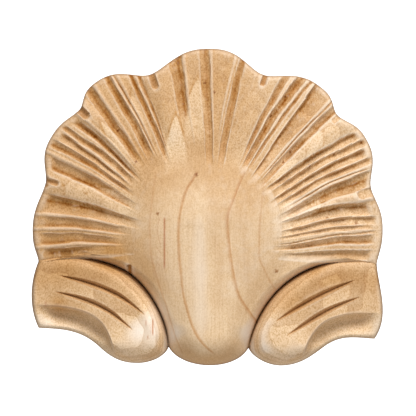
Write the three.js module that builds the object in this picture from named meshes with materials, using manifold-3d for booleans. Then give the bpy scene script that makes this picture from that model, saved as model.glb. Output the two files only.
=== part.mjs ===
// Carved shell ornament: a wooden onlay for furniture, a mantel or a door, carved as one piece.
// A fan of seven fluted lobes opens around a plump tongue, and a curled leaf lies at each side below it.
// Millimetres, +Z up. The carving faces -Y, and the flat back, which is glued or pinned on, lies at y = 0.
import * as THREE from 'three';
import { mergeVertices } from 'three/addons/utils/BufferGeometryUtils.js';
import Module from 'manifold-3d';

// Overall sizes
const WIDTH = 110;
const HEIGHT = 99;
const DEPTH = 19; // back to the crown of the tongue

// Heights above the back
const RIM_HEIGHT = 9.4; // lobes, just inside the rim
const ROOT_HEIGHT = 14.2; // fan, where its lobes meet under the tongue
const LOW_EDGE = 6.4; // foot of the tongue, and the valley beside each leaf
const LEAF_SKIRT = 5.2; // leaf, at its crease against the shell
const OUTER_EDGE = 8.6; // the same two at the ornament's sides, where the creases run out shallow
const OUTER_SKIRT = 8.2;
const LEAF_FOOT = 6.6; // leaf, at its free edges
const LIP_HEIGHT = 8.8; // leaf, along the lower edge of its cove
const LEAF_TIP_HEIGHT = 10; // leaf, near its outer side
const LEAF_BELLY_HEIGHT = 13.4; // leaf, halfway along
const KNUCKLE_HEIGHT = 15.8; // leaf, at its round inner end

// Depths and widths of the cuts
const FLUTE_DEPTH = 1.4; // a flute as wide as FULL_FLUTE, narrower ones are shallower
const FULL_FLUTE = 3.4; // degrees of the fan
const RIB_RISE = 0.8; // smooth ribs between the lobes
const RIM_ROUND = 1.5; // rounding of the rim
const SLIT_DEPTH = 2.3; // veins cut in the leaves
const SLIT_WIDTH = 1.5;
const COVE_DEPTH = 2.9; // hollow below each leaf

// The plan is drawn in hundredths of the width. Its origin is the middle of the back, and it is
// PLAN_HEIGHT high. Angles are in degrees around the hub of the fan, counter-clockwise from +X.
const PLAN_WIDTH = 100;
const PLAN_HEIGHT = 90;
const HUB = [-0.2, -6.5];
const FAN_RADIUS = 50;

// Rim of the fan: a valley at each rib and a crest on each lobe, as [angle, distance from the hub]
const VALLEYS = [
  [-11.3, 49.1], [14.3, 48.1], [41.4, 49.4], [70.3, 46.9],
  [110, 47], [136.7, 49.8], [164.2, 47.7], [190.4, 48.6],
];
const CRESTS = [
  [0, 49.9], [29.7, 52.1], [50.8, 51.9], [88.7, 51.5], [128, 52.5], [149.2, 51.5], [181, 49.5],
];
const SCALLOP_FULLNESS = 0.75; // below 1 draws the lobes out broader than their valleys

// Flutes of each lobe, as [from, to] in degrees, and how far inside the rim they end
const LOBES = [
  { stop: 3, flutes: [[-10.2, -6.5], [-6, -3.2], [-3, -0.9], [-0.7, 1.2], [1.6, 4.6], [4.9, 10.2]] },
  { stop: 1.8, flutes: [[15.8, 20], [21.7, 25.2], [25.6, 28.2], [28.5, 31.3], [31.6, 35.7]] },
  { stop: 0, flutes: [[42.4, 45.2], [50.4, 53.8], [54.7, 55.9], [57.2, 61.1], [62.6, 65.2]] },
  { stop: 0, flutes: [[76.6, 80.1], [89.2, 92.2], [98.6, 104.5]] },
  { stop: 0, flutes: [[113.3, 115], [116, 118.5], [122.6, 124.9], [129.4, 134]] },
  { stop: 2, flutes: [[139.3, 141.6], [142, 145.3], [147.6, 151], [154.5, 158.2]] },
  { stop: 3.2, flutes: [[168.9, 173.4], [174.8, 178.3], [180.4, 184.2], [185.6, 189.6]] },
];
const FLUTE_INNER = 0.43; // share of the way from hub to rim where the flutes fade out
const FLUTE_FULL = 0.6; // and where they reach full depth
const FLUTE_FULLNESS = 0.8; // below 1 makes the flutes rounder than a parabola
const STOP_FADE = 0.8; // a flute that stops inside the rim runs out over twice this length

// The flutes sweep down towards the tongue: turn at SWEEP_INNER, as [angle, degrees]. The turn
// starts at SWEEP_START and grows towards the hub, up to SWEEP_MOST times the listed one.
const SWEEP = [
  [-60, 0], [-20, -8], [0, -6.5], [20, -7.5], [35, -2.5], [65, -1.8], [95, -1],
  [110, 2.5], [130, 4.5], [170, 4.3], [190, 6], [225, 0],
];
const SWEEP_START = 38.3;
const SWEEP_INNER = 21.3;
const SWEEP_MOST = 1.63;
const SWEEP_BEND = 1.7;

// Tongue: its crown rises from the fan and runs almost level down to the rounded foot
const TONGUE_AXIS = 0.2;
const TONGUE_HALF_WIDTH = [12.6, 25]; // at its foot, and where it spreads into the fan
const TONGUE_WIDENING = [-38, -6]; // plan heights between which it spreads
const TONGUE_TOP = 17; // fades into the middle lobe here
const TONGUE_FULL = -5; // full height from here down
const TONGUE_FALL = 1.3; // above 1 makes its sides flow out softly
const FOOT_ROLL = 9.8; // length of the rounding at its foot
const FOOT = [[-11.1, -39.7], [-7.5, -46.4], [7.9, -46.9], [11.6, -40]];

// Leaves, as cubic curves: crease against the shell, outer side, lower edge and round end
const LEAVES = {
  left: {
    crease: [
      [-48, -15.3], [-40.2, -13.3], [-28.3, -13.9], [-21.2, -19.5],
      [-15.8, -23.9], [-11.2, -32.6], [-11.1, -39.7],
    ],
    side: [[-48, -15.3], [-50.7, -21.5], [-50.7, -28.9], [-48, -34.3]],
    lower: [
      [-48, -34.3], [-41.9, -34.7], [-36.2, -34.4], [-30.4, -40],
      [-27.4, -42.7], [-24.6, -44.3], [-20, -44.3],
    ],
    end: [[-11.1, -39.7], [-11.5, -41.7], [-15.2, -44.3], [-20, -44.3]],
    veins: [0.26, 0.47],
  },
  right: {
    crease: [
      [48, -16.1], [41, -14.6], [31.3, -14.7], [23.1, -20.8],
      [17.1, -25.1], [12.6, -33.4], [11.6, -40],
    ],
    side: [[48, -16.1], [48.6, -22.9], [52, -30.9], [47.4, -37.4]],
    lower: [
      [47.4, -37.4], [41.8, -37.1], [37.8, -36.1], [33, -39.7],
      [29.6, -42.2], [26.2, -45], [20.8, -45],
    ],
    end: [[11.6, -40], [12.3, -42.2], [16.6, -45], [20.8, -45]],
    veins: [0.285, 0.5],
  },
};
const VALLEY_REACH = [4.2, 2.4]; // width of the valley beside a leaf, at the foot and further out
const VALLEY_NARROWING = [14, 30]; // distances from the middle between which it gets narrower
const SHALLOWING = [31, 43]; // distances from the middle between which the creases run out
const TUCK = 2.6; // how far the shell runs on under a leaf

// Grid of the shell: rings as shares of the way out, and the numbers of columns along a crease and
// along the foot. Rings up to CORE_SHARE are round and keep every third column of the fan, the one
// at CREASE_SHARE lies on the creases, and the last one is the outline.
const RINGS = [0.08, 0.15, 0.22, 0.29, 0.36, 0.42, 0.48, 0.56, 0.65, 0.74, 0.82, 0.89, 0.94, 0.975, 1];
const CORE_SHARE = 0.42;
const CREASE_SHARE = 0.94;
const CREASE_COLUMNS = 18;
const LEFT_SIDE = 225; // rough angle of each stretch of the outline below the fan
const FOOT_SIDE = 270;
const RIGHT_SIDE = -45;
const CREASE_SKIPPED = 5; // the crease starts out along the fan's last column
const FOOT_COLUMNS = 14;

// Rounding of the leaves
const CREASE_ROLL = [3.5, 9.5]; // rounding of a leaf into its crease, from its outer side to its end
const END_ROLL = 6; // rounding of a leaf's round end
const SIDE_ROLL = 1.4; // rounding of its other free edges

// Carving of a leaf. Places along it are shares of its length, from its outer side to its round
// end, and places across it are shares of the way down from its crease. The veins are V-cuts, and
// the cove is the hollow below the cove line, which turns down to the lower edge.
const VEIN_SPAN = [0.16, 0.72]; // along
const VEIN_TAPER = 0.7; // below 1 keeps the veins deep nearer to their ends
const VEIN_NARROWEST = 0.3; // share of SLIT_WIDTH
const COVE_LINE = 0.65; // across
const COVE_LOWEST = 0.9; // across
const COVE_TURN = [0.4, 0.82]; // along, where the cove line starts and ends its turn
const COVE_START = [0, 0.2]; // along, where the cove comes in at the outer side
const COVE_LEAN = 0.65; // below 1 puts the deepest part of the cove nearer to its upper edge
const BELLY = 0.5; // along
const KNUCKLE = 0.8; // along
const CREASE_ROLL_SPAN = [0.15, 0.7]; // along, where the rounding into the crease widens

// Grid of a leaf: its columns, and its rows across each band between the edges of the carving
const LEAF_COLUMNS = 22;
const LEAF_CROWDING = 0.6; // crowds the columns towards both ends
const CREASE_ROWS = [0, 0.04, 0.13, 0.3, 0.6];
const MIDDLE_ROWS = [0.33, 0.67];
const COVE_SIDE_ROWS = [0.35, 0.7, 0.92];
const COVE_ROWS = [0.04, 0.18, 0.34, 0.52, 0.72, 0.88, 0.96, 1];

// Grid columns on the floor of a flute, as shares of its width, and on a rib between two lobes
const WIDE_FLUTE = 2.2; // degrees
const WIDE_FLOOR = [0.3, 0.7];
const NARROW_FLOOR = [0.5];
const RIB_COLUMNS = [0.2, 0.5, 0.8];
const WIDE_FILLET = 3; // degrees, a fillet this wide has a column of its own

const MM_X = WIDTH / PLAN_WIDTH;
const MM_Z = HEIGHT / PLAN_HEIGHT;
const radians = THREE.MathUtils.degToRad;
const { clamp, lerp, smoothstep } = THREE.MathUtils;

// Share of the way through a span, held at its ends
const reach = (value, [from, to]) => clamp((value - from) / (to - from), 0, 1);
// Quarter-round rise from 0 at an edge to 1 at the given width
const roll = (inside, width) => Math.sqrt(1 - (1 - reach(inside, [0, width])) ** 2);
// Round-bottomed cut or rise across a share of 0 to 1
const hump = (share) => 1 - (2 * clamp(share, 0, 1) - 1) ** 2;

// Straight-line reading of a list of [x, y] steps
function reading(steps, x) {
  let i = 1;
  while (i < steps.length - 1 && x > steps[i][0]) i++;
  const [x0, y0] = steps[i - 1];
  const [x1, y1] = steps[i];
  return lerp(y0, y1, reach(x, [x0, x1]));
}

// Smooth path through a chain of cubic curves, read by share of its length
function path(points) {
  const vectors = points.map(([u, v]) => new THREE.Vector2(u, v));
  const chain = new THREE.CurvePath();
  for (let i = 0; i + 3 < vectors.length; i += 3) {
    chain.add(new THREE.CubicBezierCurve(...vectors.slice(i, i + 4)));
  }
  return chain;
}

// Distance from a point to a path sampled as a list of points
function distance(samples, point) {
  let best = Infinity;
  const segment = new THREE.Vector2();
  const offset = new THREE.Vector2();
  for (let i = 1; i < samples.length; i++) {
    segment.subVectors(samples[i], samples[i - 1]);
    offset.subVectors(point, samples[i - 1]);
    const share = clamp(offset.dot(segment) / segment.lengthSq(), 0, 1);
    best = Math.min(best, offset.addScaledVector(segment, -share).length());
  }
  return best;
}

// Closed body from a relief seen from the front: its vertices, its triangles and its border,
// both counter-clockwise. The border drops to the flat back.
function reliefBody(vertices, triangles, border) {
  const positions = vertices.flatMap(({ u, v, height }) => [u * MM_X, -height, v * MM_Z]);
  const index = [...triangles];
  const back = vertices.length;
  for (const i of border) positions.push(vertices[i].u * MM_X, 0, vertices[i].v * MM_Z);
  border.forEach((front, i) => {
    const next = (i + 1) % border.length;
    index.push(front, back + i, back + next, front, back + next, border[next]);
  });
  const outline = border.map((i) => new THREE.Vector2(vertices[i].u, vertices[i].v));
  for (const [a, b, c] of THREE.ShapeUtils.triangulateShape(outline, [])) {
    index.push(back + a, back + c, back + b);
  }
  return closedGeometry(positions, index);
}

function closedGeometry(positions, index) {
  const geometry = new THREE.BufferGeometry();
  geometry.setAttribute('position', new THREE.Float32BufferAttribute(positions, 3));
  geometry.setIndex(index);
  return mergeVertices(geometry, 1e-4);
}

// Distance of the fan's rim from the hub
function rimDistance(angle) {
  let i = 0;
  while (i < CRESTS.length - 1 && angle > VALLEYS[i + 1][0]) i++;
  const [crestAngle, crest] = CRESTS[i];
  const [valleyAngle, valley] = angle < crestAngle ? VALLEYS[i] : VALLEYS[i + 1];
  const share = clamp((angle - valleyAngle) / (crestAngle - valleyAngle), 0, 1) ** SCALLOP_FULLNESS;
  return lerp(valley, crest, THREE.MathUtils.smootherstep(share, 0, 1));
}

// Point of the shell on the flow line that meets the rim at an angle
function sweepAt(distanceOut) {
  const inward = Math.max(0, SWEEP_START - distanceOut) / (SWEEP_START - SWEEP_INNER);
  return Math.min(SWEEP_MOST, inward ** SWEEP_BEND);
}

function flowPoint(angle, distanceOut) {
  const turned = radians(angle + reading(SWEEP, angle) * sweepAt(distanceOut));
  return new THREE.Vector2(HUB[0] + distanceOut * Math.cos(turned), HUB[1] + distanceOut * Math.sin(turned));
}

// Flow line through a point, as its angle at the rim and the point's distance from the hub
function flowLine(point, near) {
  const distanceOut = Math.hypot(point.x - HUB[0], point.y - HUB[1]);
  let turned = THREE.MathUtils.radToDeg(Math.atan2(point.y - HUB[1], point.x - HUB[0]));
  turned += 360 * Math.round((near - turned) / 360);
  let angle = turned;
  for (let i = 0; i < 20; i++) angle = turned - reading(SWEEP, angle) * sweepAt(distanceOut);
  return { angle, distanceOut };
}

// Carving across the fan at an angle: flutes sink, and the ribs between the lobes rise
function across(angle) {
  for (const [i, { flutes, stop }] of LOBES.entries()) {
    for (const [from, to] of flutes) {
      if (angle > from && angle < to) {
        const depth = FLUTE_DEPTH * Math.min(1, (to - from) / FULL_FLUTE);
        return { cut: depth * hump((angle - from) / (to - from)) ** FLUTE_FULLNESS, rib: 0, stop };
      }
    }
    const last = flutes[flutes.length - 1][1];
    const following = LOBES[i + 1]?.flutes[0][0];
    if (following && angle >= last && angle <= following) {
      return { cut: 0, rib: RIB_RISE * hump((angle - last) / (following - last)), stop };
    }
  }
  return { cut: 0, rib: 0, stop: 0 };
}

const creases = Object.values(LEAVES).map(({ crease }) => path(crease).getSpacedPoints(60));
const footCurve = path(FOOT).getSpacedPoints(40);

// Height of the shell on a column, at a share of the way from the hub to the column's end
function shellHeight(column, share, point) {
  const outward = alongColumn(column, share);
  const dome = lerp(ROOT_HEIGHT, RIM_HEIGHT, (outward / FAN_RADIUS) ** 2);
  const swell = smoothstep(point.y, TONGUE_FULL, TONGUE_TOP);
  const half = lerp(...TONGUE_HALF_WIDTH, smoothstep(point.y, ...TONGUE_WIDENING));
  const side = Math.min(1, Math.abs(point.x - TONGUE_AXIS) / half);
  const tongue = (DEPTH - dome) * (1 - swell) * (1 - side ** 2) ** TONGUE_FALL;
  let height = dome + tongue;
  if (column.fan) {
    const { cut, rib, stop } = across(column.angle);
    const inside = column.end - outward;
    const fade = smoothstep(share, FLUTE_INNER, FLUTE_FULL);
    const ending = stop ? smoothstep(inside, stop - STOP_FADE, stop + STOP_FADE) : 1;
    height += fade * (rib - cut * ending);
    height -= RIM_ROUND * (1 - roll(inside * MM_X, RIM_ROUND));
  }
  const valley = Math.min(...creases.map((crease) => distance(crease, point)));
  const valleyReach = lerp(...VALLEY_REACH, smoothstep(Math.abs(point.x), ...VALLEY_NARROWING));
  const sunk = column.crease && share >= CREASE_SHARE ? 0 : roll(valley, valleyReach);
  const low = edgeHeight(point, LOW_EDGE, OUTER_EDGE);
  return lerp(low, height, sunk * roll(distance(footCurve, point), FOOT_ROLL));
}

// Height at a crease, which runs out shallow towards the ornament's side
function edgeHeight(point, middle, outer) {
  return lerp(middle, outer, smoothstep(Math.abs(point.x), ...SHALLOWING));
}

// Columns of the shell's grid run out from the hub, one on each edge and floor of the carving
function shellColumns() {
  const columns = [];
  const fanColumn = (angle) => columns.push({ angle, end: rimDistance(angle), fan: true });
  fanColumn(VALLEYS[0][0]);
  LOBES.forEach(({ flutes }, lobe) => {
    flutes.forEach(([from, to], i) => {
      const floors = to - from > WIDE_FLUTE ? WIDE_FLOOR : NARROW_FLOOR;
      for (const share of [0, ...floors, 1]) fanColumn(lerp(from, to, share));
      const following = flutes[i + 1]?.[0];
      if (following - to > WIDE_FILLET) fanColumn((to + following) / 2);
    });
    const last = flutes[flutes.length - 1][1];
    const following = LOBES[lobe + 1]?.flutes[0][0];
    if (following) for (const share of RIB_COLUMNS) fanColumn(lerp(last, following, share));
  });
  fanColumn(VALLEYS[VALLEYS.length - 1][0]);

  columns.push(...tuckedColumns(LEAVES.left.crease, LEFT_SIDE));
  const foot = path(FOOT);
  for (let i = 0; i <= FOOT_COLUMNS; i++) {
    const { angle, distanceOut } = flowLine(foot.getPointAt(i / FOOT_COLUMNS), FOOT_SIDE);
    columns.push({ angle, end: distanceOut });
  }
  columns.push(...tuckedColumns(LEAVES.right.crease, RIGHT_SIDE).reverse());
  return columns;
}

// Beside a leaf the columns cross its crease and end a little way under the leaf
function tuckedColumns(points, near) {
  const crease = path(points);
  const columns = [];
  for (let i = CREASE_SKIPPED; i < CREASE_COLUMNS; i++) {
    const share = i / CREASE_COLUMNS;
    const { angle, distanceOut } = flowLine(crease.getPointAt(share), near);
    columns.push({ angle, crease: distanceOut, end: distanceOut + TUCK * Math.sin(Math.PI * share) });
  }
  return columns;
}

// Distance from the hub at a share of a column
function alongColumn({ end, crease }, share) {
  const core = CORE_SHARE * FAN_RADIUS;
  if (share <= CORE_SHARE) return share * FAN_RADIUS;
  if (!crease) return lerp(core, end, reach(share, [CORE_SHARE, 1]));
  if (share <= CREASE_SHARE) return lerp(core, crease, reach(share, [CORE_SHARE, CREASE_SHARE]));
  return lerp(crease, end, reach(share, [CREASE_SHARE, 1]));
}

function shell() {
  const columns = shellColumns();
  const vertices = [{ u: HUB[0], v: HUB[1], height: shellHeight(columns[0], 0, new THREE.Vector2(...HUB)) }];
  const rings = RINGS.map((share) => {
    const coarse = share <= CORE_SHARE;
    const members = [];
    columns.forEach((column, key) => {
      if (coarse && column.fan && key % 3) return;
      const point = flowPoint(column.angle, alongColumn(column, share));
      members.push({ key, vertex: vertices.length });
      vertices.push({ u: point.x, v: point.y, height: shellHeight(column, share, point) });
    });
    return members;
  });
  const triangles = [];
  const first = rings[0];
  first.forEach(({ vertex }, i) => triangles.push(0, vertex, first[(i + 1) % first.length].vertex));
  for (let ring = 1; ring < rings.length; ring++) {
    zip(rings[ring - 1], rings[ring], columns.length, triangles);
  }
  return reliefBody(vertices, triangles, rings[rings.length - 1].map(({ vertex }) => vertex));
}

// Triangles between two rings that may have different numbers of columns
function zip(inner, outer, turn, triangles) {
  const at = (ring, i) => ring[i % ring.length].vertex;
  const key = (ring, i) => (i < ring.length ? ring[i].key : turn + ring[i - ring.length].key);
  let i = 0;
  let j = 0;
  while (i < inner.length || j < outer.length) {
    const outward = j < outer.length && (i >= inner.length || key(outer, j + 1) <= key(inner, i + 1));
    if (outward) {
      triangles.push(at(inner, i), at(outer, j), at(outer, j + 1));
      j++;
    } else {
      triangles.push(at(inner, i), at(outer, j), at(inner, i + 1));
      i++;
    }
  }
}

// A leaf is a patch stretched between its four edges: s runs from its outer side to its round end,
// and t from the crease to the lower edge
function leafPlan({ crease, side, lower, end }) {
  const [creasePath, sidePath, lowerPath, endPath] = [crease, side, lower, end].map(path);
  return (s, t) => {
    const point = creasePath.getPointAt(s).multiplyScalar(1 - t).addScaledVector(lowerPath.getPointAt(s), t);
    point.addScaledVector(sidePath.getPointAt(t), 1 - s).addScaledVector(endPath.getPointAt(t), s);
    point.addScaledVector(sidePath.getPointAt(0), -(1 - s) * (1 - t));
    point.addScaledVector(sidePath.getPointAt(1), -(1 - s) * t);
    point.addScaledVector(endPath.getPointAt(0), -s * (1 - t));
    return point.addScaledVector(endPath.getPointAt(1), -s * t);
  };
}

// One line of vertices down a leaf at a share of its length. Lines fall on the edges and floors
// of the veins and on the cove line.
function leafLine(leaf, plan, edges, s) {
  const width = plan(s, 0).distanceTo(plan(s, 1)) * MM_Z;
  const swell = Math.sin(Math.PI * reach(s, VEIN_SPAN)) ** VEIN_TAPER;
  const half = SLIT_WIDTH / 2 * Math.max(swell, VEIN_NARROWEST) / width;
  const cove = Math.min(COVE_LOWEST, lerp(COVE_LINE, 1, reach(s, COVE_TURN) ** 2));
  const [upper, lower] = leaf.veins;
  const between = (from, to, shares) => shares.map((share) => ({ t: lerp(from, to, share), cut: 0 }));
  const vein = (t) => [{ t: t - half, cut: 0 }, { t, cut: SLIT_DEPTH * swell }, { t: t + half, cut: 0 }];
  const line = [
    ...between(0, upper - half, CREASE_ROWS),
    ...vein(upper),
    ...between(upper + half, lower - half, MIDDLE_ROWS),
    ...vein(lower),
    ...between(lower + half, cove, COVE_SIDE_ROWS),
    ...between(cove, 1, COVE_ROWS),
  ];
  const round = smoothstep(s, BELLY, KNUCKLE);
  const crown = s < BELLY
    ? lerp(LEAF_TIP_HEIGHT, LEAF_BELLY_HEIGHT, smoothstep(s, 0, BELLY))
    : lerp(LEAF_BELLY_HEIGHT, KNUCKLE_HEIGHT, round);
  const coveDepth = COVE_DEPTH * smoothstep(s, ...COVE_START);
  const creaseRoll = lerp(...CREASE_ROLL, smoothstep(s, ...CREASE_ROLL_SPAN));
  return line.map(({ t, cut }) => {
    const point = plan(s, t);
    const below = clamp((t - cove) / (1 - cove), 0, 1);
    const hollow = (crown - LIP_HEIGHT) * below + coveDepth * Math.sin(Math.PI * below ** COVE_LEAN);
    const body = crown - cut - hollow * (1 - round);
    const free = roll(distance(edges.side, point), SIDE_ROLL)
      * roll(distance(edges.below, point), lerp(SIDE_ROLL, END_ROLL, round));
    const rise = roll(distance(edges.crease, point), creaseRoll);
    const height = lerp(edgeHeight(point, LEAF_SKIRT, OUTER_SKIRT), lerp(LEAF_FOOT, body, free), rise);
    return { u: point.x, v: point.y, height };
  });
}

function leafBody(leaf, startsAtRight) {
  const plan = leafPlan(leaf);
  const [crease, side, lower, end] = [leaf.crease, leaf.side, leaf.lower, leaf.end].map((points) => (
    path(points).getSpacedPoints(40)));
  const edges = { crease, side, below: [...lower, ...end.reverse().slice(1)] };
  const lines = [];
  for (let i = 0; i <= LEAF_COLUMNS; i++) {
    const even = i / LEAF_COLUMNS;
    lines.push(leafLine(leaf, plan, edges, lerp(even, smoothstep(even, 0, 1), LEAF_CROWDING)));
  }
  const deep = lines[0].length;
  const triangles = [];
  const face = (a, b, c) => (startsAtRight ? triangles.push(a, c, b) : triangles.push(a, b, c));
  for (let line = 0; line < LEAF_COLUMNS * deep; line += deep) {
    for (let i = line; i < line + deep - 1; i++) {
      face(i, i + 1, i + deep + 1);
      face(i, i + deep + 1, i + deep);
    }
  }
  const border = [];
  const last = LEAF_COLUMNS * deep;
  for (let i = 0; i < deep - 1; i++) border.push(i);
  for (let i = deep - 1; i < last; i += deep) border.push(i);
  for (let i = last + deep - 1; i > last; i--) border.push(i);
  for (let i = last; i > 0; i -= deep) border.push(i);
  return reliefBody(lines.flat(), triangles, startsAtRight ? border.reverse() : border);
}

const wasm = await Module();
wasm.setup();

function solid(geometry) {
  const vertProperties = new Float32Array(geometry.getAttribute('position').array);
  const triVerts = new Uint32Array(geometry.getIndex().array);
  return new wasm.Manifold(new wasm.Mesh({ numProp: 3, vertProperties, triVerts }));
}

const leaves = Object.entries(LEAVES).map(([name, leaf]) => solid(leafBody(leaf, name === 'right')));
const carving = leaves.reduce((joined, leaf) => joined.add(leaf), solid(shell()));
const { vertProperties, triVerts } = carving.getMesh();

const wood = new THREE.MeshStandardMaterial({ color: 0xd6b38b, roughness: 0.6, metalness: 0 });
const ornament = new THREE.Mesh(closedGeometry(vertProperties, [...triVerts]), wood);
ornament.name = 'carved_shell';

const part = new THREE.Group();
part.add(ornament);
export default part;
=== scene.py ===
# Carved shell ornament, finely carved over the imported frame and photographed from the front.
# Metres in Blender. The carving is worked out in the same plan as the solid: hundredths of its width.
import math

import bmesh
import bpy
import numpy as np
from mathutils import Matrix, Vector, geometry, noise


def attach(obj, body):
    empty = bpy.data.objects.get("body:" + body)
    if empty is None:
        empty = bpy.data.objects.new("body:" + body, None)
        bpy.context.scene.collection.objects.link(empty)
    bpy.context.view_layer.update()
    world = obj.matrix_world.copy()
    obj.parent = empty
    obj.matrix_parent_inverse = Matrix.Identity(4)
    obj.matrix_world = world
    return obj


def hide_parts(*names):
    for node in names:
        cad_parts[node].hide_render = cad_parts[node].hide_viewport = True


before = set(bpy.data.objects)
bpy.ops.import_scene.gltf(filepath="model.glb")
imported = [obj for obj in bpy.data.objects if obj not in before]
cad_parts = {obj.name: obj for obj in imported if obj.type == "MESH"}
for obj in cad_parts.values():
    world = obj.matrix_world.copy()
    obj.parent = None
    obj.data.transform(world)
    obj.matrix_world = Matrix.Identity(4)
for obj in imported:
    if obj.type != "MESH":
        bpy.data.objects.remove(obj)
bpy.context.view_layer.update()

MM = 0.001
UNIT = 1.1  # millimetres in a hundredth of the width
DEPTH = 19.0
INSET = 0.9998  # keeps the finer curves of the outline inside the solid's box

# Heights above the back, in millimetres
RIM_HEIGHT = 9.4
ROOT_HEIGHT = 14.2  # of the dome at the hub, without the tongue
LOW_EDGE = 6.4  # of the shell along the creases and the foot
OUTER_EDGE = 9.2  # of the shell where the creases run out at the sides
LEAF_SKIRT = 5.2  # of a leaf along its crease
OUTER_SKIRT = 9.0  # of a leaf where the crease runs out
LEAF_FOOT = 6.6  # of a leaf along its free edges
LIP_HEIGHT = 9.6
LEAF_TIP_HEIGHT = 10.0
LEAF_BELLY_HEIGHT = 13.4
KNUCKLE_HEIGHT = 15.8

# Other sizes in millimetres
FLUTE_DEPTH = 1.6
FULL_FLUTE = 3.4  # in degrees, the width at which a flute is as deep as it gets
RIB_RISE = 0.8
RIM_ROUND = 1.5
SLIT_DEPTH = 1.7
SLIT_WIDTH = 2.0
SLIT_NARROWEST = 0.3  # share of that width
COVE_DEPTH = 3.2

# The outline of the fan: angle and distance from the hub of each valley and crest between the lobes
HUB = np.array([-0.2, -6.5])
FAN_RADIUS = 50.0
VALLEYS = np.array([[-11.3, 49.1], [14.3, 48.1], [41.4, 49.4], [70.3, 46.9],
                    [110, 47], [136.7, 49.8], [164.2, 47.7], [190.4, 48.6]])
CRESTS = np.array([[0, 49.9], [29.7, 52.1], [50.8, 51.9], [88.7, 51.5],
                   [128, 52.5], [149.2, 51.5], [181, 49.5]])
SCALLOP_FULLNESS = 0.75

# Flutes of each lobe: how far inside the rim they end, and for each one its edges in degrees near the
# rim, its edges in degrees at the inner end, its inner end, where across it the floor is deepest, and
# how dark its floor is painted, partly painted shade and partly torn grain
LOBES = [
    (3, [[-10.9, -7.2, -13, -10, 21, 0.5, 0.4], [-4.9, -1.6, -7.6, -4.1, 18.5, 0.25, 0.7],
           [-1.4, -0.3, -3.9, -2.6, 18, 0.5, 0.15], [0.1, 1.75, -0.9, 1.6, 19, 0.6, 0.35],
           [1.8, 5, 1.8, 5.9, 19.5, 0.7, 0.55], [5.2, 9.9, 6.2, 12.8, 19.5, 0.66, 0.85]]),
    (1.8, [[14.4, 20, 14, 19.5, 19, 0.5, 0.85], [20.8, 21.3, 20.8, 21.5, 22, 0.5, 0.4],
           [21.9, 24.4, 22.5, 25.6, 19.5, 0.62, 0.7], [24.6, 27.8, 25.7, 29.1, 18.5, 0.68, 0.85],
           [28.2, 31, 29.4, 33.3, 19.5, 0.62, 0.7], [31.1, 34.2, 33.4, 36.9, 18.5, 0.68, 0.85]]),
    (0, [[42, 44.8, 41.2, 45, 19, 0.25, 0.8], [45.5, 46.1, 45.6, 46.3, 20, 0.5, 0.5],
           [46.8, 53.2, 47.6, 52.8, 18.5, 0.87, 0.8], [54.8, 56.1, 56.1, 58, 19, 0.5, 0.7],
           [57, 60.3, 58.8, 62.6, 18.5, 0.5, 1], [61.6, 64.2, 63, 65.5, 19.5, 0.5, 0.65]]),
    (0, [[77, 79.6, 77.4, 81.6, 16.5, 0.45, 0.65], [88.9, 92.5, 87.3, 92, 16.5, 0.4, 0.5],
           [98.3, 102.9, 99.3, 103.8, 30, 0.32, 0.85]]),
    (0, [[113, 114.6, 114, 115, 22, 0.5, 0.6], [115.4, 117.4, 115.2, 118.3, 20.5, 0.5, 0.9],
           [120.9, 121.5, 121.5, 122.2, 24, 0.5, 0.5], [122.3, 125.1, 123, 127.3, 24, 0.5, 0.85],
           [129.2, 132.6, 131.3, 135.2, 26, 0.5, 0.8]]),
    (2, [[139.2, 141.7, 139.1, 141.3, 22.5, 0.5, 1], [143.3, 145.4, 142, 145.7, 23.5, 0.5, 0.65],
           [146.2, 149, 146.7, 149.4, 24, 0.3, 0.65], [149.1, 152, 149.3, 151.9, 22, 0.62, 0.8],
           [154.6, 158.8, 154.8, 160.1, 20, 0.8, 0.9]]),
    (3.2, [[167.4, 173.8, 166.6, 173.3, 18, 0.35, 0.95], [175.2, 179, 174.6, 178.9, 21, 0.8, 0.4],
           [181, 185.2, 181.7, 185.4, 23, 0.82, 0.45], [186.8, 191, 187.5, 191, 30, 0.4, 0.6]]),
]
# How dark a flute's lit side is, as a share of its floor, from the right lobes to the left ones
LIT_SIDE = [0.15, 0.15, 0.4, 0.8, 0.9, 0.2, 0.15]
LOBE_DEPTH = [0.92, 0.92, 0.9, 0.62, 0.6, 0.75, 0.7]
FLUTE_SPAN = (46, 28)  # where those two pairs of edges are, as distances from the hub
FLUTE_BEYOND = (-0.3, 1.4)  # how far beyond them, in shares, the edges keep their course
# Raised fillets beside the flutes, as degrees near the rim and at the inner end
FILLETS = [(128.4, 130.2), (153.8, 153.6), (120.3, 120.9), (122.0, 122.7), (97.6, 98.2), (88.3, 86.8),
           (81.0, 83.2), (45.1, 45.2), (46.5, 46.9), (20.4, 20.2), (21.6, 22.0), (174.5, 173.9),
           (179.6, 179.6), (185.9, 186.3), (137.6, 137.4)]
FILLET_RISE = 0.3
FILLET_HALF = 0.75
RIB_SPAN = (22, 33)  # distances from the hub between which ribs and fillets rise
# The dark line at the bottom of a flute is painted shade
CREVICE = 0.5  # half width in degrees of the dark line at the bottom of a flute
LINE_FULL = 1.6  # how soon that line is at its darkest as a flute deepens
LOPSIDED = 0.12  # how far off the middle a floor lies before one side is the lit one
FLUTE_ENTRY = 7.0
FLUTE_FULLNESS = (0.75, 0.42)  # of narrow and wide flutes
FLUTE_WIDTHS = (2, 5)
NARROW_DEPTH = 0.8  # power by which a narrow flute is shallower
PALE_DEPTH = 0.6  # share of the depth that a flute with a pale floor has
STOP_FADE = 1.3
STOP_DRIFT = (0.7, 3.3)  # how much the outer ends of the flutes vary, and the phase
INNER_TONE = 0.6  # share of its darkness that a floor keeps near the hub
TONE_SPAN = (23, 36)
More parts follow.
